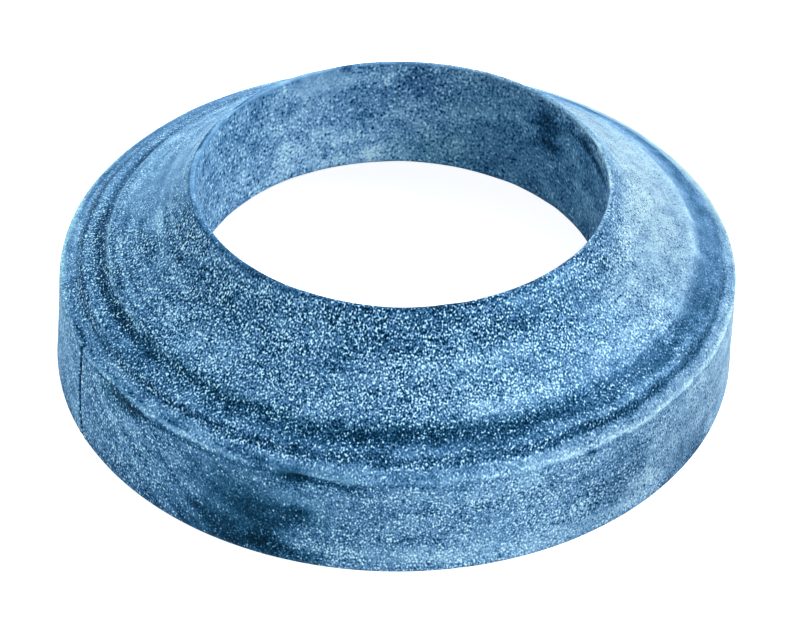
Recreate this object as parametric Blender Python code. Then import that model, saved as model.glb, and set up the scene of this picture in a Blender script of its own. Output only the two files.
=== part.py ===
"""A spud gasket: the moulded sponge rubber ring that seals a cistern to the pan of a close-coupled toilet.

It is one piece, turned about the Z axis, in metres, +Z up. It stands on its wide foot, with the origin at
the centre of the foot. The narrow lip on top presses into the pan's inlet, the spud passes through the
bore, and the recess in the foot goes over the nut that holds the spud.
"""

import math

import bmesh
import bpy
from mathutils import Vector

# Overall sizes
OUTER_RADIUS = 0.04445      # 3 1/2 inches across the foot
HEIGHT = 0.0254             # 1 inch from foot to lip

# Outer wall
WALL_HEIGHT = 0.0130
WALL_DRAFT = 0.0009         # how much narrower the wall is at its top edge
WALL_EDGE_ROUND = 0.0003

# Bore, widest where it opens into the recess
BORE_RADIUS = 0.0266
BORE_DRAFT = 0.0006         # how much narrower the bore is at the lip
BORE_EDGE_ROUND = 0.0005

# Recess in the foot, inside the flat ring that it stands on
FOOT_WIDTH = 0.00495
RECESS_DEPTH = 0.0090
RECESS_DRAFT = 0.0005       # how much narrower the recess is at its ceiling
RECESS_CORNER_ROUND = 0.0010
FOOT_EDGE_ROUND = 0.0006

# Lip, and the hollow flare that spreads from it
LIP_THICKNESS = 0.0008
LIP_ROUND = 0.0003
FLARE_SAG = 0.0008          # how far the flare hangs below a straight cone, at its middle

# Two low steps from the wall's top edge up to the flare
RIM_WIDTH = 0.0020          # outer tread
RIM_RISE = 0.0011
LEDGE_WIDTH = 0.0029        # inner tread
LEDGE_RISE = 0.0012
RISER_WIDTH = 0.0006
RISER_HEIGHT = 0.0009
STEP_ROUND = 0.0004

# Mould seam down the outer wall
SEAM_ANGLE = math.radians(-151.5)
SEAM_WIDTH = 0.0005
SEAM_DEPTH = 0.0003
SEAM_OVERRUN = 0.0004       # how far the seam nicks the wall's top edge

# Fineness of the curves
TURN_STEPS = 96
FLARE_STEPS = 9
ROUND_STEPS = 3
MOST_SETBACK = 0.45         # of the shorter side that a rounding may take up
SHARP_ANGLE = math.radians(40)

RUBBER_COLOUR = (0.13, 0.28, 0.46, 1.0)
RUBBER_ROUGHNESS = 0.8


def sagging(start, end, sag, steps):
    """Points between start and end on a parabola that hangs sag below the straight line at its middle."""
    along = end - start
    down = Vector((along.y, -along.x)).normalized() * sag
    shares = [step / steps for step in range(1, steps)]
    return [start + along * share + down * 4 * share * (1 - share) for share in shares]


def rounded(before, corner, after, radius):
    """Points of the arc that rounds a corner and is tangent to both of its sides."""
    if not radius:
        return [corner]
    back, on = before - corner, after - corner
    half_angle = back.angle(on) / 2
    setback = min(radius / math.tan(half_angle), MOST_SETBACK * min(back.length, on.length))
    first = corner + back.normalized() * setback
    last = corner + on.normalized() * setback
    centre = corner + (back.normalized() + on.normalized()).normalized() * setback / math.cos(half_angle)
    reach = (first - centre).length
    shares = [step / ROUND_STEPS for step in range(ROUND_STEPS + 1)]
    return [centre + (first - centre).slerp(last - centre, share) * reach for share in shares]


def section_corners():
    """The half section's corners as (point, rounding), with a point as (radius, height).

    They run from the lip down the outside, across the foot and its recess, and up the bore.
    """
    wall_top = Vector((OUTER_RADIUS - WALL_DRAFT, WALL_HEIGHT))
    rim_top = wall_top + Vector((-RIM_WIDTH, RIM_RISE))
    ledge_foot = rim_top + Vector((-RISER_WIDTH, RISER_HEIGHT))
    ledge_top = ledge_foot + Vector((-LEDGE_WIDTH, LEDGE_RISE))
    flare_foot = ledge_top + Vector((-RISER_WIDTH, RISER_HEIGHT))
    recess_mouth = Vector((OUTER_RADIUS - FOOT_WIDTH, 0))
    lip_inside = Vector((BORE_RADIUS - BORE_DRAFT, HEIGHT))
    lip_outside = lip_inside + Vector((LIP_THICKNESS, 0))
    flare = sagging(lip_outside, flare_foot, FLARE_SAG, FLARE_STEPS)
    return [
        (lip_outside, LIP_ROUND),
        *((point, 0) for point in flare),
        (flare_foot, STEP_ROUND),
        (ledge_top, STEP_ROUND),
        (ledge_foot, STEP_ROUND),
        (rim_top, STEP_ROUND),
        (wall_top, WALL_EDGE_ROUND),
        (Vector((OUTER_RADIUS, 0)), FOOT_EDGE_ROUND),
        (recess_mouth, FOOT_EDGE_ROUND),
        (recess_mouth + Vector((-RECESS_DRAFT, RECESS_DEPTH)), RECESS_CORNER_ROUND),
        (Vector((BORE_RADIUS, RECESS_DEPTH)), BORE_EDGE_ROUND),
        (lip_inside, LIP_ROUND),
    ]


def section():
    """The closed half section, with its corners rounded."""
    corners = section_corners()
    points = [point for point, _ in corners]
    before = points[-1:] + points[:-1]
    after = points[1:] + points[:1]
    rounds = [rounded(a, point, b, radius) for a, (point, radius), b in zip(before, corners, after)]
    return [point for arc in rounds for point in arc]


def turned(name, outline):
    """An object made by turning a closed outline of (radius, height) points once round the Z axis."""
    shape = bmesh.new()
    verts = [shape.verts.new((point.x, 0, point.y)) for point in outline]
    edges = [shape.edges.new(ends) for ends in zip(verts, verts[1:] + verts[:1])]
    bmesh.ops.spin(
        shape, geom=verts + edges, axis=(0, 0, 1), cent=(0, 0, 0),
        angle=math.tau, steps=TURN_STEPS, use_merge=True,
    )
    bmesh.ops.recalc_face_normals(shape, faces=shape.faces)
    mesh = bpy.data.meshes.new(name)
    shape.to_mesh(mesh)
    shape.free()
    mesh.shade_smooth()
    mesh.set_sharp_from_angle(angle=SHARP_ANGLE)
    ring = bpy.data.objects.new(name, mesh)
    bpy.context.scene.collection.objects.link(ring)
    return ring


def wall_radius(height):
    """The outer wall's radius at a height, along its draft."""
    return OUTER_RADIUS - WALL_DRAFT * height / WALL_HEIGHT


def seam_cutter():
    """A thin wedge along the outer wall, pointing inwards, that cuts the seam's V groove."""
    shape = bmesh.new()
    ends = []
    for height in (-SEAM_OVERRUN, WALL_HEIGHT + SEAM_OVERRUN):
        wall = wall_radius(height)
        corners = [
            (wall - SEAM_DEPTH, 0, height),
            (wall + SEAM_DEPTH, -SEAM_WIDTH, height),
            (wall + SEAM_DEPTH, SEAM_WIDTH, height),
        ]
        ends.append(shape.faces.new([shape.verts.new(corner) for corner in corners]))
    bmesh.ops.bridge_loops(shape, edges=[edge for end in ends for edge in end.edges])
    bmesh.ops.recalc_face_normals(shape, faces=shape.faces)
    mesh = bpy.data.meshes.new("seam_cutter")
    shape.to_mesh(mesh)
    shape.free()
    cutter = bpy.data.objects.new("seam_cutter", mesh)
    cutter.rotation_euler.z = SEAM_ANGLE
    cutter.hide_render = True
    cutter.display_type = "WIRE"
    bpy.context.scene.collection.objects.link(cutter)
    return cutter


def rubber():
    """Blue sponge rubber with a dull skin."""
    material = bpy.data.materials.new("blue_sponge_rubber")
    material.use_nodes = True
    shader = material.node_tree.nodes["Principled BSDF"]
    shader.inputs["Base Color"].default_value = RUBBER_COLOUR
    shader.inputs["Roughness"].default_value = RUBBER_ROUGHNESS
    shader.inputs["Metallic"].default_value = 0.0
    return material


def build():
    """Clears the scene and makes the gasket, with its seam cut by a Boolean."""
    for old in list(bpy.data.objects):
        bpy.data.objects.remove(old)
    gasket = turned("spud_gasket", section())
    gasket.data.materials.append(rubber())
    seam = gasket.modifiers.new("seam", "BOOLEAN")
    seam.operation = "DIFFERENCE"
    seam.object = seam_cutter()


build()
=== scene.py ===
import math

import bpy
import numpy as np
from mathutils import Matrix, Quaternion, Vector


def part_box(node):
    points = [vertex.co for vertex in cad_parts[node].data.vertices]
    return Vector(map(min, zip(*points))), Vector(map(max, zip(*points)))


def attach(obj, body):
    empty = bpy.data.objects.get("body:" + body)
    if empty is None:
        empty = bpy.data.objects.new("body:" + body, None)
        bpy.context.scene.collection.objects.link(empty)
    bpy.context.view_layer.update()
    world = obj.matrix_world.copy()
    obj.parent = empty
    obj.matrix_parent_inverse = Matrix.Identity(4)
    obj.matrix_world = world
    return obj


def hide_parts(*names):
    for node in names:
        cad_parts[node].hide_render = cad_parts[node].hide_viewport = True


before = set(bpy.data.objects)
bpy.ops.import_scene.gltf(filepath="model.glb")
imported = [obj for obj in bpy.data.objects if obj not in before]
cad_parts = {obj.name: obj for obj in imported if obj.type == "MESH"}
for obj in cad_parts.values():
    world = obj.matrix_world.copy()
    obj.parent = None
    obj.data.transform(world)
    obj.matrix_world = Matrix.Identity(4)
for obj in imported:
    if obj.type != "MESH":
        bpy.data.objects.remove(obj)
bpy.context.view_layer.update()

MM = 0.001

# The ring's size, from its part in model.glb
CAD_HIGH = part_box("spud_gasket")[1]
OUTER_RADIUS = CAD_HIGH.x
HEIGHT = CAD_HIGH.z

# Section of the ring, as in its solid, but with a thinner lip and slightly rounder edges
WALL_HEIGHT = 13.0 * MM
WALL_DRAFT = 0.9 * MM
WALL_EDGE_ROUND = 0.35 * MM
BORE_RADIUS = 26.6 * MM
BORE_DRAFT = 0.6 * MM
BORE_EDGE_ROUND = 0.5 * MM
RECESS_RADIUS = 39.0 * MM
RECESS_DEPTH = 9.0 * MM
RECESS_DRAFT = 0.5 * MM
RECESS_CORNER_ROUND = 1.0 * MM
FOOT_EDGE_ROUND = 0.6 * MM
LIP_THICKNESS = 0.65 * MM
LIP_ROUND = 0.22 * MM
FLARE_SAG = 0.8 * MM
RIM_WIDTH = 2.0 * MM
RIM_RISE = 1.1 * MM
LEDGE_WIDTH = 2.9 * MM
LEDGE_RISE = 1.2 * MM
RISER_WIDTH = 0.6 * MM
RISER_HEIGHT = 0.9 * MM
STEP_ROUND = 0.6 * MM

# How far the soft ring is out of true at landmarks of its section, in mm, in straight lines between them:
# (shift in x, shift in y, rise at the back, swell)
OUT_OF_TRUE = {
    "lip": (0.45, 0.0, 0.13, 0.0),
    "flare_foot": (0.55, 0.0, 0.0, 0.0),
    "ledge_foot": (0.45, 0.2, 0.0, 0.05),
    "wall_top": (0.10, 0.75, 0.20, 0.10),
    "foot": (-0.35, 0.0, 0.0, 0.20),
    "recess": (0.0, 0.0, 0.0, 0.0),
    "bore_edge": (0.12, 0.0, 0.0, -0.23),
}

# Fineness of the surface
SHOWN_STEP = 0.55 * MM
HIDDEN_STEP = 2.0 * MM
ROUND_POINTS = 5            # on each rounded corner of the section
FLARE_STEPS = 8             # along the flare's sagging line
MOST_SETBACK = 0.45         # of the shorter side that a rounded corner may take up
TURN_STEPS = 576
SEAM_STEPS = 56             # more turns in the narrow strip that holds the seam
SEAM_MIDDLE = math.radians(-151.5)
SEAM_SPREAD = math.radians(2.6)

# Mould seam down the wall: (travel past the wall's top edge in mm, angle in degrees)
SEAM_PATH = (
    (-0.35, -152.2),
    (0.8, -152.1),
    (4.5, -152.4),
    (9.0, -151.9),
    (12.8, -150.5),
)
SEAM_HALF_WIDTH = 0.30 * MM
SEAM_DEPTH = 0.20 * MM
SEAM_END = 0.2 * MM         # how far above the foot's rounded edge the seam stops
SEAM_TONE = -0.70
FLASH_OFFSET = 0.70 * MM    # from the seam to the thin raised flash on both sides of it
FLASH_HEIGHT = 0.05 * MM
FLASH_TONE = 0.10

# Camera, fitted to the photograph
CAMERA_TARGET = Vector((0.46 * MM, 0.0, 1.90 * MM))
CAMERA_DISTANCE = 273.8 * MM
CAMERA_ELEVATION = math.radians(39.26)
CAMERA_ROLL = math.radians(0.87)
CAMERA_LENS = 92.57
CAMERA_NEAR = 0.01
SENSOR_WIDTH = 36.0

# Studio: (lamp, azimuth from the X axis and elevation in degrees, size in m, power in W)
LAMPS = (
    ("key", -20, 47, 0.5, 5.5),
    ("back_right", 45, 25, 0.4, 2.2),
    ("back", 90, 25, 0.4, 4.9),
    ("left_fill", 190, 6, 0.4, 2.2),
)
LAMP_DISTANCE = 0.8
WORLD_COLOUR = (0.88, 0.96, 1.0, 1)
WORLD_STRENGTH = 0.445
FLOOR_HALF = 2.0
FLOOR_COLOUR = (0.86, 0.86, 0.86, 1)
FLOOR_ROUGHNESS = 0.9
FLOOR_GLOW = 0.92           # white of the floor as the camera and reflections see it

# In the tables below, angles are in degrees and lengths in mm. A place is a landmark of the section, and
# travel past it goes down the outside from the lip, across the foot and up the bore.

# Dents in the skin: (angle, place, travel past it, half angle, half travel, depth)
DENTS = (
    (-141.0, "wall_top", 0.7, 4.0, 0.7, 0.22),
    (-104.6, "wall_top", 0.3, 4.0, 0.9, 0.25),
    (-114.0, "wall_top", -0.2, 5.0, 0.4, 0.12),
    (-56.2, "wall_top", 0.8, 0.35, 0.9, 0.15),
)
# Fine moulding rings: (place, travel past it, half width, height, angle, half angle)
RINGS = (
    ("wall_top", -0.25, 0.22, 0.07, -90.0, 200.0),
    ("lip", 3.0, 0.18, -0.07, -60.0, 60.0),
    ("lip", 1.8, 0.16, -0.06, 180.0, 50.0),
    ("lip", 2.6, 0.16, -0.05, 175.0, 45.0),
    ("ledge_top", 0.8, 0.25, 0.07, -175.0, 55.0),
    ("ledge_top", 1.9, 0.25, 0.07, -170.0, 60.0),
    ("ledge_foot", 1.5, 0.22, 0.06, -170.0, 50.0),
    ("ledge_foot", -0.6, 0.30, 0.05, -35.0, 35.0),
)
# Random fields: (strength, cells round the ring, cells along its section, seed)
LUMPS = (
    (0.09 * MM, 17, 11, 3),
    (0.05 * MM, 60, 31, 4),
)
LUMPS_FADE = 1.5 * MM       # height above the foot over which the lumps set in
WARP = (                    # of the stains' outlines round the ring, in degrees
    (3.0, 45, 25, 5),
    (1.5, 190, 70, 7),
)
SLIDE = (                   # of the stains' outlines along the section
    (0.30 * MM, 60, 31, 6),
    (0.15 * MM, 220, 70, 8),
)
CLOUDING = (
    (0.045, 24, 75, 9),
    (0.035, 80, 110, 10),
)
BORE_CLOUDING = (
    (0.10, 60, 44, 13),
)
GRIT_CLOUDING = (
    (0.30, 48, 36, 14),
)
# Thin streaks round the ring, with more of their tone on the upper side near one angle
STREAK_CELLS = (9, 170, 11)
STREAK_TONE = 0.02
STREAK_MORE = 0.12
STREAK_MIDDLE = -185.0
STREAK_HALF = 42.0
# Slanting smears down the wall near one angle
SMEAR_CELLS = (260, 9, 12)
SMEAR_TONE = 0.13
SMEAR_MIDDLE = -138.0
SMEAR_HALF = 26.0
SMEAR_RUN = 30 * MM         # travel down the wall in which a smear leans by one radian

# Stains of the skin, and painted light and shade on it: (angle, half angle, place, travel past it, half
# travel, tone)
STAINS_AND_PAINTED_LIGHT = (
    # darker bands in the steps: darker rubber, with painted shade in their creases
    (-160.0, 70.0, "flare_foot", 1.3, 0.65, -0.24),
    (120.0, 26.0, "flare_foot", 0.6, 0.40, -0.18),
    (-70.0, 46.0, "flare_foot", 1.4, 1.6, -0.17),
    (-90.0, 130.0, "rim_top", -0.4, 0.7, -0.18),
    (-2.0, 34.0, "ledge_top", 1.6, 1.8, -0.20),
    (38.0, 20.0, "ledge_top", 2.75, 1.05, -0.15),
    (62.0, 18.0, "ledge_foot", 0.6, 0.6, -0.06),
    (-30.0, 36.0, "rim_top", -0.3, 0.5, -0.09),
    (16.0, 44.0, "rim_top", 0.2, 0.5, -0.10),
    (-88.0, 26.0, "ledge_top", 1.6, 1.6, -0.14),
    (-150.0, 44.0, "ledge_top", 1.4, 1.2, -0.05),
    (-200.0, 46.0, "ledge_foot", 0.2, 0.32, -0.20),
    (-204.0, 48.0, "ledge_top", 1.0, 0.32, -0.18),
    # light lines on the edges: painted highlights along them, painted sheen along the outline, painted shade
    # just under the wall's top edge
    (-90.0, 140.0, "wall_top", -0.15, 0.3, 0.13),
    (-90.0, 140.0, "wall_top", 0.55, 0.35, -0.09),
    (-125.0, 28.0, "wall_top", -1.0, 0.8, 0.04),
    (-30.0, 35.0, "wall_top", -1.0, 0.8, 0.05),
    (-40.0, 20.0, "ledge_foot", -0.5, 0.35, 0.06),
    (-10.0, 50.0, "flare_foot", -0.3, 0.4, 0.10),
    # dark nicks by the top of the seam
    (-155.5, 3.5, "wall_top", -0.6, 0.25, -0.28),
    (-146.0, 5.0, "wall_top", 0.35, 0.25, -0.16),
    (140.0, 55.0, "wall_top", -0.2, 0.4, 0.20),
    (46.0, 36.0, "wall_top", -0.45, 0.80, 0.20),
    # painted light on the inner part of the ledge at the right and back
    (44.0, 26.0, "ledge_top", 0.6, 0.85, 0.10),
    (-30.0, 30.0, "wall_top", 0.0, 0.22, 0.13),
    (-126.0, 24.0, "wall_top", 0.0, 0.20, 0.11),
    (-128.0, 22.0, "wall_top", -0.45, 0.14, -0.14),
    # painted sheen on the wall along its right and left outlines
    (1.0, 7.0, "wall_top", 7.0, 8.0, 0.10),
    (-181.0, 7.0, "wall_top", 6.0, 8.0, 0.09),
    # darker on the rim at the right
    (-12.0, 30.0, "rim_top", 1.2, 0.5, -0.05),
    (0.0, 22.0, "rim_top", 1.1, 0.75, -0.08),
    # painted sheen on the wall along its left outline
    (-178.0, 12.0, "wall_top", 5.0, 9.0, 0.14),
    # lip: painted shade on its top, and painted highlights and dark lines along its edges
    (-88.0, 16.0, "lip", 0.9, 1.3, -0.08),
    (-92.0, 74.0, "lip", -0.25, 0.42, -0.22),
    (95.0, 70.0, "bore_top", -0.2, 0.5, -0.07),
    (176.0, 24.0, "bore_top", 0.0, 0.30, 0.04),
    (2.0, 34.0, "bore_top", 0.1, 0.26, 0.26),
    (164.0, 27.0, "lip", 0.10, 0.22, -0.38),
    (107.0, 1.8, "bore_top", 0.2, 0.6, -0.28),
    (-15.0, 30.0, "lip", 1.2, 1.5, -0.06),
    # flare
    (-58.0, 30.0, "lip", 9.0, 3.6, 0.05),
    (-60.0, 40.0, "lip", 2.6, 2.6, -0.08),
    (-100.0, 40.0, "lip", 6.0, 7.0, -0.03),
    (-135.0, 18.0, "lip", 10.5, 1.6, 0.08),
    (-140.0, 26.0, "lip", 4.0, 3.0, -0.05),
    (-50.0, 24.0, "lip", 2.9, 0.3, -0.10),
    (-75.0, 15.0, "lip", 7.0, 0.6, 0.12),
    (-63.0, 8.0, "lip", 6.2, 0.5, 0.10),
    (-50.0, 7.0, "lip", 5.2, 0.5, 0.05),
    (-98.0, 9.0, "lip", 8.6, 0.5, 0.08),
    (-152.0, 6.0, "lip", 6.4, 0.7, 0.13),
    (-170.0, 6.0, "lip", 6.6, 1.2, 0.09),
    (-164.0, 4.0, "lip", 7.6, 1.0, -0.10),
    (-4.0, 34.0, "lip", 8.0, 6.5, 0.06),
    (50.0, 42.0, "lip", 7.0, 9.0, 0.06),
    (145.0, 36.0, "lip", 7.0, 9.0, 0.13),
    (-155.0, 30.0, "lip", 8.0, 5.0, -0.02),
    (173.0, 22.0, "lip", 3.5, 3.5, 0.14),
    (-168.0, 62.0, "ledge_top", 4.0, 22.0, -0.035),
    (-70.0, 11.0, "flare_foot", -2.2, 1.6, 0.08),
    (-46.0, 9.0, "flare_foot", -2.4, 1.5, 0.08),
    (-56.0, 12.0, "lip", 5.3, 1.3, -0.07),
    (-15.0, 9.0, "lip", 2.6, 1.8, 0.09),
    (-152.0, 9.0, "flare_foot", -2.2, 1.4, -0.09),
    (172.0, 11.0, "lip", 5.6, 1.8, -0.07),
    (-68.0, 9.5, "flare_foot", -0.7, 1.2, 0.09),
    (-108.0, 6.0, "flare_foot", 0.5, 1.8, 0.09),
    (-132.5, 6.0, "flare_foot", -1.7, 1.2, 0.08),
    (-98.0, 4.0, "lip", 3.9, 1.2, -0.07),
    (-35.5, 6.0, "flare_foot", -6.0, 1.2, 0.07),
    (-47.5, 5.0, "flare_foot", -2.2, 0.9, 0.07),
    (-55.5, 12.0, "lip", 0.6, 1.4, 0.07),
    (-47.0, 10.0, "lip", 1.7, 2.0, 0.06),
    # steps and the wall's top edge
    (-51.0, 12.0, "ledge_foot", -0.1, 1.7, -0.08),
    (-166.0, 16.0, "ledge_foot", -1.1, 0.4, -0.09),
    (-108.0, 6.0, "rim_top", 0.6, 0.45, 0.10),
    (-98.0, 6.0, "rim_top", 1.1, 0.5, 0.08),
    (-66.0, 12.0, "wall_top", 0.4, 2.4, 0.08),
    (-52.0, 8.0, "rim_top", 0.1, 1.1, -0.08),
    (-172.0, 9.0, "ledge_foot", -1.1, 0.4, -0.08),
    (-111.0, 4.0, "wall_top", -0.5, 0.8, -0.14),
    (-34.5, 4.0, "wall_top", 1.2, 1.0, 0.07),
    (-159.0, 5.0, "rim_top", 1.1, 2.6, 0.07),
    (5.5, 5.0, "rim_top", 0.1, 2.0, -0.07),
    # wall
    (-113.0, 9.5, "wall_top", 7.5, 6.0, -0.18),
    (-124.0, 15.0, "wall_top", 12.0, 2.4, -0.16),
    # darker in and beside the dents under the wall's top edge: painted shade
    (-105.2, 4.2, "wall_top", 0.4, 1.6, -0.30),
    (-100.2, 2.6, "wall_top", 0.8, 0.5, -0.22),
    (-115.0, 4.0, "wall_top", -0.4, 0.6, -0.20),
    (-139.5, 5.6, "wall_top", 1.1, 1.0, -0.36),
    (-128.0, 8.0, "wall_top", 0.5, 0.5, -0.18),
    (-56.2, 0.5, "wall_top", 0.7, 0.9, -0.35),
    # patches on the wall
    (-53.5, 5.5, "wall_top", 6.0, 4.5, -0.12),
    (-34.0, 7.5, "wall_top", 10.8, 2.7, -0.15),
    (-45.0, 30.0, "wall_top", 7.0, 6.0, -0.02),
    (-162.0, 24.0, "wall_top", 6.0, 7.0, 0.09),
    (0.0, 24.0, "wall_top", 4.0, 9.0, 0.09),
    (-75.0, 26.0, "wall_top", 11.6, 2.0, 0.10),
    (-84.0, 15.0, "wall_top", 7.0, 5.0, 0.03),
    (-108.5, 5.0, "wall_top", 9.2, 3.4, -0.11),
    (-106.0, 4.0, "wall_top", 3.6, 1.1, 0.10),
    (-94.0, 5.0, "wall_top", 6.0, 1.8, -0.06),
    (-77.0, 10.0, "wall_top", 4.6, 1.1, -0.05),
    (-63.5, 7.5, "wall_top", 8.2, 4.5, 0.07),
    (-45.5, 3.5, "wall_top", 9.3, 3.2, 0.06),
    (-75.5, 8.5, "foot", -4.2, 2.8, 0.07),
    (-70.5, 8.5, "wall_top", 1.2, 2.4, 0.08),
    (-125.0, 5.0, "wall_top", 0.2, 2.4, 0.08),
    (-85.0, 3.2, "wall_top", 1.2, 1.8, 0.08),
    (-60.0, 4.5, "wall_top", 5.5, 2.0, -0.07),
    (-91.0, 8.0, "foot", -2.1, 1.0, 0.07),
    (-109.0, 3.4, "foot", -4.6, 3.4, -0.12),
    (-103.5, 2.4, "wall_top", 5.5, 1.8, 0.08),
    (-102.5, 3.4, "wall_top", 0.2, 0.8, -0.12),
    # bore: painted light towards its left and painted shade towards its right, with smaller patches
    (114.0, 20.0, "bore_top", -1.2, 1.8, 0.12),
    (104.0, 26.0, "bore_edge", 1.6, 1.2, 0.07),
    (18.0, 9.0, "bore_edge", 5.5, 4.0, 0.08),
    (48.0, 4.0, "bore_edge", 8.0, 6.0, -0.07),
    (148.0, 34.0, "bore_edge", 7.0, 8.5, 0.08),
    (35.0, 34.0, "bore_edge", 7.0, 9.0, -0.07),
    (125.0, 26.0, "bore_edge", 4.0, 5.0, 0.12),
    (99.0, 6.0, "bore_edge", 1.8, 1.6, 0.16),
    (75.0, 50.0, "bore_edge", 6.0, 9.0, 0.12),
    (115.0, 7.0, "bore_edge", 14.0, 2.0, 0.10),
    (42.0, 5.5, "bore_edge", 11.4, 3.2, -0.26),
    (17.0, 12.0, "bore_top", -2.3, 0.6, -0.34),
    (83.0, 6.0, "bore_edge", 13.0, 2.0, -0.12),
    (68.0, 8.0, "bore_edge", 1.0, 1.3, -0.14),
    (95.0, 14.0, "bore_edge", 13.0, 3.0, -0.05),
    (84.0, 13.0, "bore_edge", 4.2, 2.0, 0.07),
    (125.5, 8.0, "bore_edge", 2.0, 1.6, 0.08),
    (21.0, 8.0, "bore_edge", 5.2, 5.0, 0.06),
    (125.5, 10.0, "bore_top", -1.8, 2.0, 0.08),
    (29.0, 7.0, "bore_edge", 7.4, 5.0, 0.06),
)

# How coarse the skin's grain looks round the outside: (angle, strength), and on other parts
GRIT_ROUND = (
    (-180.0, 0.92),
    (-150.0, 0.84),
    (-120.0, 0.88),
    (-95.0, 0.93),
    (-70.0, 0.84),
    (-35.0, 0.58),
    (0.0, 0.38),
    (30.0, 0.32),
    (100.0, 0.4),
    (150.0, 0.7),
)
WALL_GRIT = 0.72            # share of it that is left on the wall
BORE_GRIT = 0.46
LEAST_GRIT = 0.15           # share of it that is left on the smoothest spots
BORE_COARSENESS = 0.70      # frequency of the bore's grain, against the outside's
BORE_PITS = 0.5             # share of the bore's grain that is dark pits, and not bright specks

# Spots of smoother grain, of a pale talc film that is partly painted sheen, and of tints: (angle, half angle,
# place, travel past it, half travel, strength)
SMOOTH_SPOTS = (
    (-90.0, 140.0, "wall_top", -0.7, 1.1, 0.32),
    (20.0, 48.0, "ledge_top", 1.6, 3.0, 0.65),
    (10.0, 50.0, "lip", 10.5, 4.0, 0.35),
    (-80.0, 50.0, "ledge_top", 1.0, 2.5, 0.28),
    (116.0, 9.0, "bore_edge", 14.5, 2.2, 0.50),
    (32.0, 36.0, "bore_edge", 7.0, 10.0, 0.28),
    (-113.0, 12.0, "wall_top", 7.5, 6.5, 0.50),
    (-104.6, 5.0, "wall_top", 0.1, 1.1, 0.40),
    (180.0, 80.0, "lip", -0.25, 0.5, 0.60),
    (-10.0, 40.0, "wall_top", 8.0, 7.0, 0.25),
    (46.0, 42.0, "wall_top", -0.5, 1.2, 0.50),
    (145.0, 40.0, "lip", 8.0, 10.0, 0.50),
    (178.0, 16.0, "lip", 5.0, 6.0, 0.40),
    (138.0, 50.0, "rim_top", 0.5, 2.6, 0.45),
    (-90.0, 70.0, "ledge_foot", 1.0, 3.5, 0.14),
)
# pale film on the lit right side: partly talc dust, partly painted sheen
TALC_AND_SHEEN_SPOTS = (
    (25.0, 58.0, "lip", 7.5, 8.0, 0.9),
    (-10.0, 50.0, "wall_top", 6.0, 9.0, 0.7),
    (46.0, 44.0, "wall_top", -0.5, 0.9, 0.6),
)
BLUE_SPOTS = (
    (-168.0, 62.0, "ledge_top", 4.0, 22.0, 1.0),
)
TEAL_SPOTS = (
    (40.0, 40.0, "bore_edge", 7.0, 10.0, 0.8),
    (80.0, 14.0, "bore_edge", 2.0, 4.0, 0.5),
    (-112.0, 10.0, "wall_top", 7.5, 6.5, 0.6),
    (-104.6, 6.0, "wall_top", 0.1, 1.1, 0.6),
    (-141.0, 6.0, "wall_top", 1.2, 1.2, 0.6),
    (-110.0, 50.0, "flare_foot", 0.9, 0.9, 0.4),
    (48.0, 44.0, "wall_top", -0.4, 0.9, 0.6),
    (150.0, 50.0, "wall_top", -0.2, 0.5, 0.6),
)

# Rubber: its middle tone, and how strongly grain, mottle and lay change it
RUBBER_TONE = 0.56
GRIT = 0.77
GRAIN_STRETCH = (1.1, 0.85, 0.85)
CELL_SCALE = 3000.0
CELL_STRENGTH = 1.6
FINE_SCALE = 4300.0
FINE_STRENGTH = 7.0
SPECK_CURVE = 0.30
SPECK_LEVEL = 1.03
GRAIN_BASE = 0.62
GRAIN_CONTRAST = 1.8
MOTTLE_SCALE = 420.0
MOTTLE_DETAIL = 4.0
MOTTLE_ROUGHNESS = 0.55
MOTTLE_STRENGTH = 0.45
LAY_SQUEEZE = 0.3           # round the ring, so that the lay's streaks run that way
LAY_SCALE = 600.0
LAY_DETAIL = 3.0
LAY_ROUGHNESS = 0.6
LAY_STRENGTH = 0.25
BUMP_DEPTH = 0.02 * MM
BUMP_STRENGTH = 0.6

# Shades of the rubber: (tone, colour)
SHADES = (
    (0.00, (0.000, 0.010, 0.027)),
    (0.19, (0.004, 0.040, 0.095)),
    (0.36, (0.024, 0.102, 0.220)),
    (0.53, (0.079, 0.208, 0.400)),
    (0.70, (0.172, 0.364, 0.595)),
    (0.87, (0.320, 0.562, 0.785)),
    (1.00, (0.465, 0.745, 0.905)),
    (1.20, (0.630, 0.940, 1.000)),
)
TEAL_TINT = (0.86, 1.00, 0.88, 1)
BLUE_TINT = (0.93, 0.985, 1.00, 1)
TALC_AND_SHEEN_COLOUR = (0.46, 0.48, 0.26, 1)
TALC_AND_SHEEN_COVER = 0.66
RUBBER_FINISH = {
    "Roughness": 0.7,
    "Specular IOR Level": 0.04,
    "Specular Tint": (0.5, 0.85, 1.0, 1),
    "Sheen Weight": 0.03,
    "Sheen Roughness": 0.4,
    "Sheen Tint": (0.5, 0.85, 1.0, 1),
}


def placed(name, data):
    """A new object in the scene."""
    obj = bpy.data.objects.new(name, data)
    bpy.context.scene.collection.objects.link(obj)
    return obj


def point_at(radius, height):
    """A point of the section."""
    return np.array([radius, height])


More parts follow.
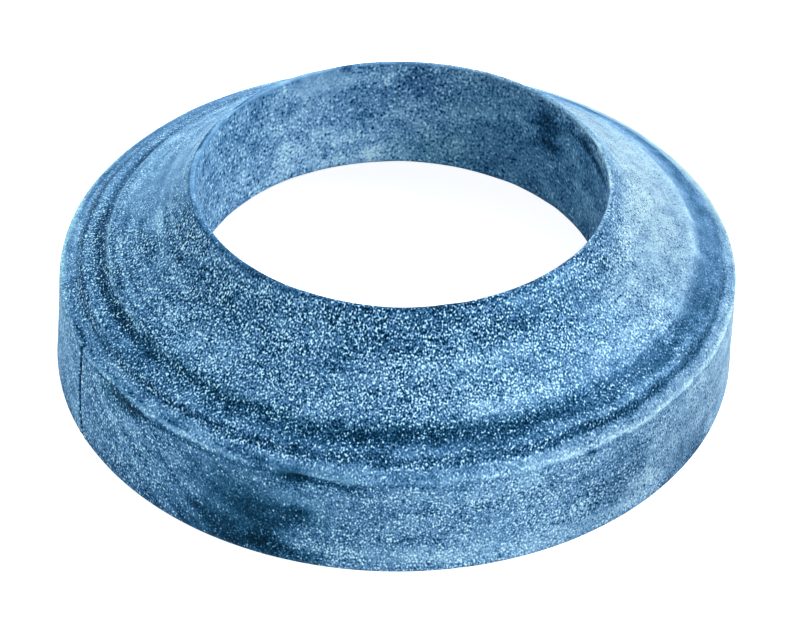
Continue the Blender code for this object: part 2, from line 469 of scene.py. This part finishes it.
def fillet(before, corner, after, radius):
    """Arc that rounds a corner and is tangent to both of its sides.

    Its points are at equal turns about the point where both sides meet once they are moved in by the radius.
    """
    back, on = before - corner, after - corner
    shorter = min(np.linalg.norm(back), np.linalg.norm(on))
    back, on = back / np.linalg.norm(back), on / np.linalg.norm(on)
    half = math.acos(np.clip(back @ on, -1, 1)) / 2
    setback = min(radius / math.tan(half), MOST_SETBACK * shorter)
    radius = setback * math.tan(half)
    middle = corner + (back + on) / np.linalg.norm(back + on) * radius / math.sin(half)
    start, end = corner + back * setback - middle, corner + on * setback - middle
    turn = math.atan2(start[0] * end[1] - start[1] * end[0], start @ end)
    angles = np.linspace(0, turn, ROUND_POINTS)[:, None]
    across = np.array([-start[1], start[0]])
    return middle + start * np.cos(angles) + across * np.sin(angles)


def sagging(start, end, sag):
    """Points between start and end on a parabola that hangs sag below the straight line at its middle."""
    share = np.linspace(0, 1, FLARE_STEPS + 1)[1:-1, None]
    along = end - start
    hang = point_at(along[1], -along[0]) / np.linalg.norm(along) * sag
    return start + along * share + hang * 4 * share * (1 - share)


def section():
    """The closed half section as (radius, height), from the lip's crest down the outside and up the bore.

    Returns its points and the names of its landmarks, each with the index of its middle point.
    """
    wall_top = point_at(OUTER_RADIUS - WALL_DRAFT, WALL_HEIGHT)
    rim_top = wall_top + point_at(-RIM_WIDTH, RIM_RISE)
    ledge_foot = rim_top + point_at(-RISER_WIDTH, RISER_HEIGHT)
    ledge_top = ledge_foot + point_at(-LEDGE_WIDTH, LEDGE_RISE)
    flare_foot = ledge_top + point_at(-RISER_WIDTH, RISER_HEIGHT)
    lip_in = point_at(BORE_RADIUS - BORE_DRAFT, HEIGHT)
    lip_out = lip_in + point_at(LIP_THICKNESS, 0)
    flare = sagging(lip_out, flare_foot, FLARE_SAG)
    foot_out = point_at(OUTER_RADIUS, 0)
    foot_in = point_at(RECESS_RADIUS + RECESS_DRAFT, 0)
    recess_corner = point_at(RECESS_RADIUS, RECESS_DEPTH)
    bore_edge = point_at(BORE_RADIUS, RECESS_DEPTH)
    runs = [
        ("lip", fillet(lip_in, lip_out, flare[0], LIP_ROUND)),
        ("flare", flare),
        ("flare_foot", fillet(flare[-1], flare_foot, ledge_top, STEP_ROUND)),
        ("ledge_top", fillet(flare_foot, ledge_top, ledge_foot, STEP_ROUND)),
        ("ledge_foot", fillet(ledge_top, ledge_foot, rim_top, STEP_ROUND)),
        ("rim_top", fillet(ledge_foot, rim_top, wall_top, STEP_ROUND)),
        ("wall_top", fillet(rim_top, wall_top, foot_out, WALL_EDGE_ROUND)),
        ("foot", fillet(wall_top, foot_out, foot_in, FOOT_EDGE_ROUND)),
        ("foot_in", fillet(foot_out, foot_in, recess_corner, FOOT_EDGE_ROUND)),
        ("recess", fillet(foot_in, recess_corner, bore_edge, RECESS_CORNER_ROUND)),
        ("bore_edge", fillet(recess_corner, bore_edge, lip_in, BORE_EDGE_ROUND)),
        ("bore_top", fillet(bore_edge, lip_in, lip_out, LIP_ROUND)),
    ]
    points = np.concatenate([run for _, run in runs])
    starts = np.cumsum([0] + [len(run) for _, run in runs])
    return points, {name: (starts[i] + starts[i + 1] - 1) // 2 for i, (name, _) in enumerate(runs)}


def subdivided(points, marks):
    """The section with points added on its long runs, evenly along each.

    Returns its points, the travel along it at each of them and at each landmark, and its whole length.
    """
    ends = np.roll(points, -1, axis=0)
    lengths = np.linalg.norm(ends - points, axis=1)
    order = np.arange(len(points))
    hidden = (order >= marks["foot"]) & (order < marks["bore_edge"])
    counts = np.ceil(lengths / np.where(hidden, HIDDEN_STEP, SHOWN_STEP)).astype(int)
    counts = np.maximum(counts, 1)
    start = np.repeat(order, counts)
    step = np.arange(len(start)) - np.repeat(np.cumsum(counts) - counts, counts)
    share = (step / counts[start])[:, None]
    travel = np.concatenate([[0], np.cumsum(lengths)])
    fine = points[start] * (1 - share) + ends[start] * share
    fine_travel = travel[start] + share[:, 0] * lengths[start]
    return fine, fine_travel, {name: travel[i] for name, i in marks.items()}, travel[-1]


def turn_angles():
    """Angles round the ring in even steps, with more of them across the seam."""
    even = np.linspace(-math.pi, math.pi, TURN_STEPS, endpoint=False)
    near_seam = SEAM_MIDDLE + SEAM_SPREAD * np.linspace(-1, 1, SEAM_STEPS)
    return np.unique(np.concatenate([even, near_seam]))


def smoothstep(share):
    """Smooth step from 0 to 1: 3 x^2 - 2 x^3."""
    return share * share * (3 - 2 * share)


class Surface:
    """The ring's skin as a grid of turns round the axis and travel along the section, in radians and metres.

    at holds the travel of each landmark, and total is the section's whole length.
    """

    def __init__(self, turn, travel, at, total):
        self.turn, self.travel, self.at, self.total = turn, travel, at, total

    def moved(self, warp, slide):
        """The same grid with its turns and its travel shifted."""
        return Surface(self.turn + warp, self.travel + slide, self.at, self.total)

    def past(self, place):
        """Travel past a landmark."""
        return self.travel - self.at[place]

    def between(self, first, last):
        """Where the travel lies between two landmarks."""
        return (self.travel > self.at[first]) & (self.travel < self.at[last])

    def away(self, degrees):
        """Angle from a direction given in degrees, from -180 to 180 degrees, in degrees."""
        return (np.degrees(self.turn) - degrees + 180) % 360 - 180

    def near(self, degrees, half):
        """1 at a direction, and near 0 past half degrees from it: exp(-(angle away / half)^4)."""
        return np.exp(-(self.away(degrees) / half) ** 4)

    def cloud(self, cells_round, cells_along, seed):
        """Smooth random field from -1 to 1.

        It has random values on a grid of cells, joined by smoothstep both ways.
        """
        lattice = np.random.default_rng(seed).uniform(-1, 1, (cells_round, cells_along))
        across = (self.turn / math.tau) % 1 * cells_round
        along = (self.travel / self.total) % 1 * cells_along
        i, j = np.floor(across).astype(int), np.floor(along).astype(int)
        a, b = smoothstep(across - i), smoothstep(along - j)
        i, j = i % cells_round, j % cells_along
        next_i, next_j = (i + 1) % cells_round, (j + 1) % cells_along
        this = lattice[i, j] * (1 - a) + lattice[next_i, j] * a
        beyond = lattice[i, next_j] * (1 - a) + lattice[next_i, next_j] * a
        return this * (1 - b) + beyond * b

    def clouds(self, table):
        """Sum of random fields, each times its strength."""
        return sum(strength * self.cloud(*cells) for strength, *cells in table)

    def spots(self, table):
        """Sum of soft-edged spots.

        A spot is its strength x exp(-(angle off / half angle)^4 - (travel off / half travel)^4).
        """
        field = 0
        for angle, half_angle, place, past, half_travel, strength in table:
            round_off = self.away(angle) / half_angle
            off = (self.past(place) - past * MM + self.total / 2) % self.total - self.total / 2
            field = field + strength * np.exp(-round_off ** 4 - (off / (half_travel * MM)) ** 4)
        return field


def out_of_true(surface):
    """Shift in x, shift in y, rise and swell along the section, in straight lines between its landmarks."""
    places = [surface.at[name] for name in OUT_OF_TRUE] + [surface.total + surface.at["lip"]]
    values = np.array([*OUT_OF_TRUE.values(), OUT_OF_TRUE["lip"]]) * MM
    travel = np.where(surface.travel < places[0], surface.travel + surface.total, surface.travel)
    return [np.interp(travel, places, value) for value in values.T]


def normals(outline):
    """Outward directions of the section's points: the line between both neighbours, turned by a quarter."""
    ahead = np.roll(outline, -1, axis=0) - np.roll(outline, 1, axis=0)
    ahead /= np.linalg.norm(ahead, axis=1)[:, None]
    return np.stack([-ahead[:, 1], ahead[:, 0]], axis=1)


def seam(surface):
    """Shares from 0 to 1 of the mould seam's groove, and of the flash on both sides of it.

    Each falls off as exp(-(distance / half width)^2): the groove from the seam's course, and the flash from
    lines beside it.
    """
    down, angles = np.array(SEAM_PATH).T
    down = down * MM
    course = np.radians(np.interp(surface.past("wall_top"), down, angles))
    off = (surface.turn - course) * OUTER_RADIUS
    along = (surface.past("wall_top") > down[0]) & (surface.past("foot") < -SEAM_END)
    groove = np.exp(-(off / SEAM_HALF_WIDTH) ** 2) * along
    flash = np.exp(-((np.abs(off) - FLASH_OFFSET) / SEAM_HALF_WIDTH) ** 2) * along
    return groove, flash


def relief(surface, height, groove, flash):
    """How far each point stands proud of the plain section.

    It is the flash less the groove and the dents, plus rings and lumps. A dent is its depth
    x exp(-(angle off / half angle)^2 - (travel off / half travel)^2), and a ring its height
    x exp(-(travel off / half width)^2), faded round the ring. The lumps are a random field, and the flat
    foot has none.
    """
    proud = FLASH_HEIGHT * flash - SEAM_DEPTH * groove
    for angle, place, past, half_angle, half_travel, depth in DENTS:
        off = (surface.past(place) - past * MM) / (half_travel * MM)
        proud = proud - depth * MM * np.exp(-((surface.away(angle) / half_angle) ** 2 + off ** 2))
    for place, past, half_width, ring_height, angle, half_angle in RINGS:
        line = np.exp(-((surface.past(place) - past * MM) / (half_width * MM)) ** 2)
        proud = proud + ring_height * MM * line * surface.near(angle, half_angle)
    return proud + surface.clouds(LUMPS) * np.clip(height / LUMPS_FADE, 0, 1)


def stains_and_painted_light(surface, warped, groove, flash):
    """Tone added to the rubber: the seam's, the spots' stains with painted light and shade, and random
    clouds, streaks and smears.
    """
    tone = SEAM_TONE * groove + FLASH_TONE * flash
    # the spots hold stains, and painted light and shade on the edges, in the creases and dents, on the lip
    # and in the bore
    tone += warped.spots(STAINS_AND_PAINTED_LIGHT)
    tone += surface.clouds(CLOUDING)
    tone += surface.clouds(BORE_CLOUDING) * surface.between("bore_edge", "bore_top")
    streaked = surface.near(STREAK_MIDDLE, STREAK_HALF) * surface.between("lip", "wall_top")
    tone += (STREAK_TONE + STREAK_MORE * streaked) * surface.cloud(*STREAK_CELLS)
    smeared = surface.between("wall_top", "foot") * surface.near(SMEAR_MIDDLE, SMEAR_HALF)
    leaning = surface.moved(-surface.past("wall_top") / SMEAR_RUN, 0)
    tone += SMEAR_TONE * smeared * leaning.cloud(*SMEAR_CELLS)
    return tone


def coarseness(surface, warped):
    """Strength of the grain, which is clouded, and worn smooth in spots.

    Outside it is read from a table of angles, in straight lines between them. In the bore it is one value.
    """
    angles, strengths = np.array(GRIT_ROUND).T
    strength = np.interp(np.degrees(surface.turn), angles, strengths, period=360)
    strength = strength * (1 + surface.clouds(GRIT_CLOUDING))
    strength = strength * np.where(surface.past("wall_top") > 0, WALL_GRIT, 1)
    strength = np.where(surface.between("bore_edge", "bore_top"), BORE_GRIT, strength)
    return strength * np.clip(1 - warped.spots(SMOOTH_SPOTS), LEAST_GRIT, 1)


def skin(surface, groove, flash):
    """What the rubber's material reads at each point, by name.

    The outlines of all spots are warped by random fields.
    """
    warped = surface.moved(np.radians(surface.clouds(WARP)), surface.clouds(SLIDE))
    in_bore = surface.between("bore_edge", "bore_top")
    # pale film, partly talc dust and partly painted sheen
    talc_and_sheen = np.clip(warped.spots(TALC_AND_SHEEN_SPOTS), 0, 1)
    return {
        # stains together with painted light and shade
        "stain_and_painted_light": stains_and_painted_light(surface, warped, groove, flash),
        "grit": coarseness(surface, warped),
        "coarse": np.where(in_bore, BORE_COARSENESS, 1),
        "teal": np.clip(warped.spots(TEAL_SPOTS), 0, 1),
        "blue": np.clip(warped.spots(BLUE_SPOTS), 0, 1),
        "talc_and_sheen": talc_and_sheen,
        "pitted": np.maximum(talc_and_sheen, BORE_PITS * in_bore),
    }


def grid_mesh(name, verts):
    """Closed mesh on a grid of points that meets itself both ways, with a quad for each of its cells."""
    rows, columns = verts.shape[:2]
    index = np.arange(rows * columns).reshape(rows, columns)
    beside = np.roll(index, -1, axis=0)
    quads = np.stack([index, np.roll(index, -1, axis=1), np.roll(beside, -1, axis=1), beside], axis=2)
    mesh = bpy.data.meshes.new(name)
    mesh.from_pydata(verts.astype(np.float32).reshape(-1, 3), [], quads.reshape(-1, 4))
    mesh.shade_smooth()
    return mesh


def paint(mesh, name, values):
    """Stores a number or a vector for each point of a mesh, for its material to read."""
    kind, key = ("FLOAT_VECTOR", "vector") if values.ndim == 3 else ("FLOAT", "value")
    layer = mesh.attributes.new(name, kind, "POINT")
    layer.data.foreach_set(key, values.astype(np.float32).ravel())


def build_ring():
    """The ring, turned from its section, with its relief along the normals, and moved out of true.

    A point is (radius cos turn + shift in x, radius sin turn + shift in y, height + rise sin turn).
    """
    outline, travel, at, total = subdivided(*section())
    surface = Surface(turn_angles()[:, None], travel[None, :], at, total)
    shift_x, shift_y, rise, swell = out_of_true(surface)
    groove, flash = seam(surface)
    proud = relief(surface, outline[:, 1], groove, flash)
    normal = normals(outline)
    radius = outline[:, 0] + swell + proud * normal[:, 0]
    height = outline[:, 1] + proud * normal[:, 1]
    cos, sin = np.cos(surface.turn), np.sin(surface.turn)
    verts = np.stack([radius * cos + shift_x, radius * sin + shift_y, height + rise * sin], axis=2)
    mesh = grid_mesh("sponge_rubber_ring", verts)
    for name, values in skin(surface, groove, flash).items():
        paint(mesh, name, np.broadcast_to(values, radius.shape))
    round_ring = LAY_SQUEEZE * OUTER_RADIUS
    lay = np.broadcast_arrays(round_ring * cos, round_ring * sin, surface.travel)
    paint(mesh, "lay", np.stack(lay, axis=2))
    return placed("sponge_rubber_ring", mesh)


class Nodes:
    """Adds nodes to a tree, with their inputs given as values or as the outputs that feed them."""

    def __init__(self, tree):
        self.tree = tree

    def add(self, kind, inputs=(), **settings):
        """A new node, with its settings made before its inputs."""
        node = self.tree.nodes.new(kind)
        for name, value in settings.items():
            setattr(node, name, value)
        for name, value in dict(inputs).items():
            if isinstance(value, bpy.types.NodeSocket):
                self.tree.links.new(value, node.inputs[name])
            else:
                node.inputs[name].default_value = value
        return node

    def math(self, operation, *values):
        """Result of one arithmetic step."""
        return self.add("ShaderNodeMath", dict(enumerate(values)), operation=operation).outputs[0]

    def painted(self, name):
        """The number stored under a name at each point of the mesh."""
        return self.add("ShaderNodeAttribute", attribute_name=name).outputs["Fac"]

    def noise(self, vector, scale, detail, roughness):
        """Noise less its middle, 0.5."""
        inputs = {"Vector": vector, "Scale": scale, "Detail": detail, "Roughness": roughness}
        return self.math("SUBTRACT", self.add("ShaderNodeTexNoise", inputs).outputs["Fac"], 0.5)

    def mixed(self, share, first, second, blend="MIX"):
        """Two colours mixed, or multiplied, by a share of the second."""
        inputs = {0: share, 6: first, 7: second}
        return self.add("ShaderNodeMix", inputs, data_type="RGBA", blend_type=blend).outputs[2]


def rubber_grain(nodes, place):
    """Grain of the skin, the sum of cells and fine noise, each times its strength.

    Cells are 0.5 - distance to the nearest cell's middle. The grain becomes bright specks,
    exp(curve x grain) - level, or dark pits, level - exp(-curve x grain), by the pitted share, and is then
    multiplied by base + contrast x its own size.
    """
    stretch = {0: place, 1: GRAIN_STRETCH}
    stretched = nodes.add("ShaderNodeVectorMath", stretch, operation="MULTIPLY").outputs[0]
    coarse = nodes.painted("coarse")
    scale = nodes.math("MULTIPLY", coarse, CELL_SCALE)
    cells = nodes.add("ShaderNodeTexVoronoi", {"Vector": stretched, "Scale": scale}, feature="F1")
    fine = nodes.noise(stretched, nodes.math("MULTIPLY", coarse, FINE_SCALE), 0.0, 0.5)
    grain = nodes.math("MULTIPLY", nodes.math("SUBTRACT", 0.5, cells.outputs["Distance"]), CELL_STRENGTH)
    grain = nodes.math("MULTIPLY_ADD", fine, FINE_STRENGTH, grain)
    specks = nodes.math("EXPONENT", nodes.math("MULTIPLY", grain, SPECK_CURVE))
    specks = nodes.math("SUBTRACT", specks, SPECK_LEVEL)
    pits = nodes.math("EXPONENT", nodes.math("MULTIPLY", grain, -SPECK_CURVE))
    pits = nodes.math("SUBTRACT", SPECK_LEVEL, pits)
    grain = nodes.math("MULTIPLY_ADD", nodes.math("SUBTRACT", pits, specks), nodes.painted("pitted"), specks)
    contrast = nodes.math("MULTIPLY_ADD", nodes.math("ABSOLUTE", grain), GRAIN_CONTRAST, GRAIN_BASE)
    return nodes.math("MULTIPLY", grain, contrast)


def rubber_tone(nodes, place, grain):
    """Tone of the skin: the rubber's own, plus mottle, the lay's streaks, stains with painted light and
    shade, and grain x grit.
    """
    mottle = nodes.noise(place, MOTTLE_SCALE, MOTTLE_DETAIL, MOTTLE_ROUGHNESS)
    lay = nodes.add("ShaderNodeAttribute", attribute_name="lay").outputs["Vector"]
    streak = nodes.noise(lay, LAY_SCALE, LAY_DETAIL, LAY_ROUGHNESS)
    tone = nodes.math("MULTIPLY_ADD", mottle, MOTTLE_STRENGTH, RUBBER_TONE)
    tone = nodes.math("MULTIPLY_ADD", streak, LAY_STRENGTH, tone)
    # stains with painted light and shade
    tone = nodes.math("ADD", tone, nodes.painted("stain_and_painted_light"))
    return nodes.math("MULTIPLY_ADD", nodes.math("MULTIPLY", grain, nodes.painted("grit")), GRIT, tone)


def rubber_colour(nodes, tone):
    """Colour of the skin: the shade for its tone, times teal and blue tints, with a pale film mixed in,
    partly talc dust and partly painted sheen on the lit right side.

    The film's share is its own x tone^2 x cover, so that it lies on the light grain and not in the pits.
    """
    lightest = SHADES[-1][0]
    ramp = nodes.add("ShaderNodeValToRGB", {"Fac": nodes.math("DIVIDE", tone, lightest)})
    elements = ramp.color_ramp.elements
    while len(elements) < len(SHADES):
        elements.new(0.5)
    for element, (shade_tone, shade) in zip(elements, SHADES):
        element.position = shade_tone / lightest
        element.color = (*shade, 1)
    colour = nodes.mixed(nodes.painted("teal"), ramp.outputs["Color"], TEAL_TINT, "MULTIPLY")
    colour = nodes.mixed(nodes.painted("blue"), colour, BLUE_TINT, "MULTIPLY")
    # pale film, partly talc dust and partly painted sheen
    talc_and_sheen = nodes.math("MULTIPLY", nodes.painted("talc_and_sheen"), nodes.math("MULTIPLY", tone, tone))
    return nodes.mixed(nodes.math("MULTIPLY", talc_and_sheen, TALC_AND_SHEEN_COVER), colour, TALC_AND_SHEEN_COLOUR)


def rubber():
    """Blue sponge rubber with a dull, mottled skin, whose grain is in its colour and its bump."""
    material = bpy.data.materials.new("blue_sponge_rubber")
    material.use_nodes = True
    tree = material.node_tree
    shader = tree.nodes["Principled BSDF"]
    nodes = Nodes(tree)
    place = nodes.add("ShaderNodeTexCoord").outputs["Object"]
    grain = rubber_grain(nodes, place)
    colour = rubber_colour(nodes, rubber_tone(nodes, place, grain))
    bump = nodes.add("ShaderNodeBump", {"Height": grain, "Distance": BUMP_DEPTH, "Strength": BUMP_STRENGTH})
    tree.links.new(colour, shader.inputs["Base Color"])
    tree.links.new(bump.outputs["Normal"], shader.inputs["Normal"])
    for name, value in RUBBER_FINISH.items():
        shader.inputs[name].default_value = value
    return material


def white_floor():
    """Dull white that the camera, gloss and clear things see as plain white, and that is clear from below."""
    material = bpy.data.materials.new("white_floor")
    material.use_nodes = True
    tree = material.node_tree
    shader = tree.nodes["Principled BSDF"]
    shader.inputs["Base Color"].default_value = FLOOR_COLOUR
    shader.inputs["Roughness"].default_value = FLOOR_ROUGHNESS
    shader.inputs["Emission Color"].default_value = (1, 1, 1, 1)
    nodes = Nodes(tree)
    light = nodes.add("ShaderNodeLightPath").outputs
    shown = nodes.math("MAXIMUM", light["Is Camera Ray"], light["Is Glossy Ray"])
    shown = nodes.math("MAXIMUM", shown, light["Is Transmission Ray"])
    tree.links.new(nodes.math("MULTIPLY", shown, FLOOR_GLOW), shader.inputs["Emission Strength"])
    clear = nodes.add("ShaderNodeBsdfTransparent").outputs["BSDF"]
    below = nodes.add("ShaderNodeNewGeometry").outputs["Backfacing"]
    mix = nodes.add("ShaderNodeMixShader", {0: below, 1: shader.outputs["BSDF"], 2: clear})
    tree.links.new(mix.outputs["Shader"], tree.nodes["Material Output"].inputs["Surface"])
    return material


def floor():
    """A large square on the ground plane."""
    corners = [
        (-FLOOR_HALF, -FLOOR_HALF, 0),
        (FLOOR_HALF, -FLOOR_HALF, 0),
        (FLOOR_HALF, FLOOR_HALF, 0),
        (-FLOOR_HALF, FLOOR_HALF, 0),
    ]
    mesh = bpy.data.meshes.new("floor")
    mesh.from_pydata(corners, [], [(0, 1, 2, 3)])
    obj = placed("floor", mesh)
    mesh.materials.append(white_floor())


def lamp(name, azimuth, elevation, size, power):
    """A soft square lamp on a sphere round the origin, which it faces."""
    data = bpy.data.lights.new(name, "AREA")
    data.energy = power
    data.size = size
    around, up = math.radians(azimuth), math.radians(elevation)
    place = Vector((math.cos(up) * math.cos(around), math.cos(up) * math.sin(around), math.sin(up)))
    obj = placed(name, data)
    obj.location = place * LAMP_DISTANCE
    obj.rotation_euler = (-place).to_track_quat("-Z", "Y").to_euler()


def studio_world():
    """Plain soft light from all sides."""
    world = bpy.data.worlds.new("studio")
    world.use_nodes = True
    background = world.node_tree.nodes["Background"].inputs
    background["Color"].default_value = WORLD_COLOUR
    background["Strength"].default_value = WORLD_STRENGTH
    bpy.context.scene.world = world


def camera():
    """The camera, which stands back from its target along its elevation and is rolled about its view."""
    data = bpy.data.cameras.new("camera")
    data.lens = CAMERA_LENS
    data.sensor_width = SENSOR_WIDTH
    data.clip_start = CAMERA_NEAR
    obj = placed("camera", data)
    back = Vector((0, -math.cos(CAMERA_ELEVATION), math.sin(CAMERA_ELEVATION)))
    obj.location = CAMERA_TARGET + back * CAMERA_DISTANCE
    obj.rotation_mode = "QUATERNION"
    obj.rotation_quaternion = (-back).to_track_quat("-Z", "Y") @ Quaternion((0, 0, 1), CAMERA_ROLL)
    bpy.context.scene.camera = obj


ring = build_ring()
ring.data.materials.append(rubber())
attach(ring, "root")
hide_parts("spud_gasket")
floor()
for lamp_row in LAMPS:
    lamp(*lamp_row)
studio_world()
camera()
bpy.context.scene.view_settings.view_transform = "Standard"
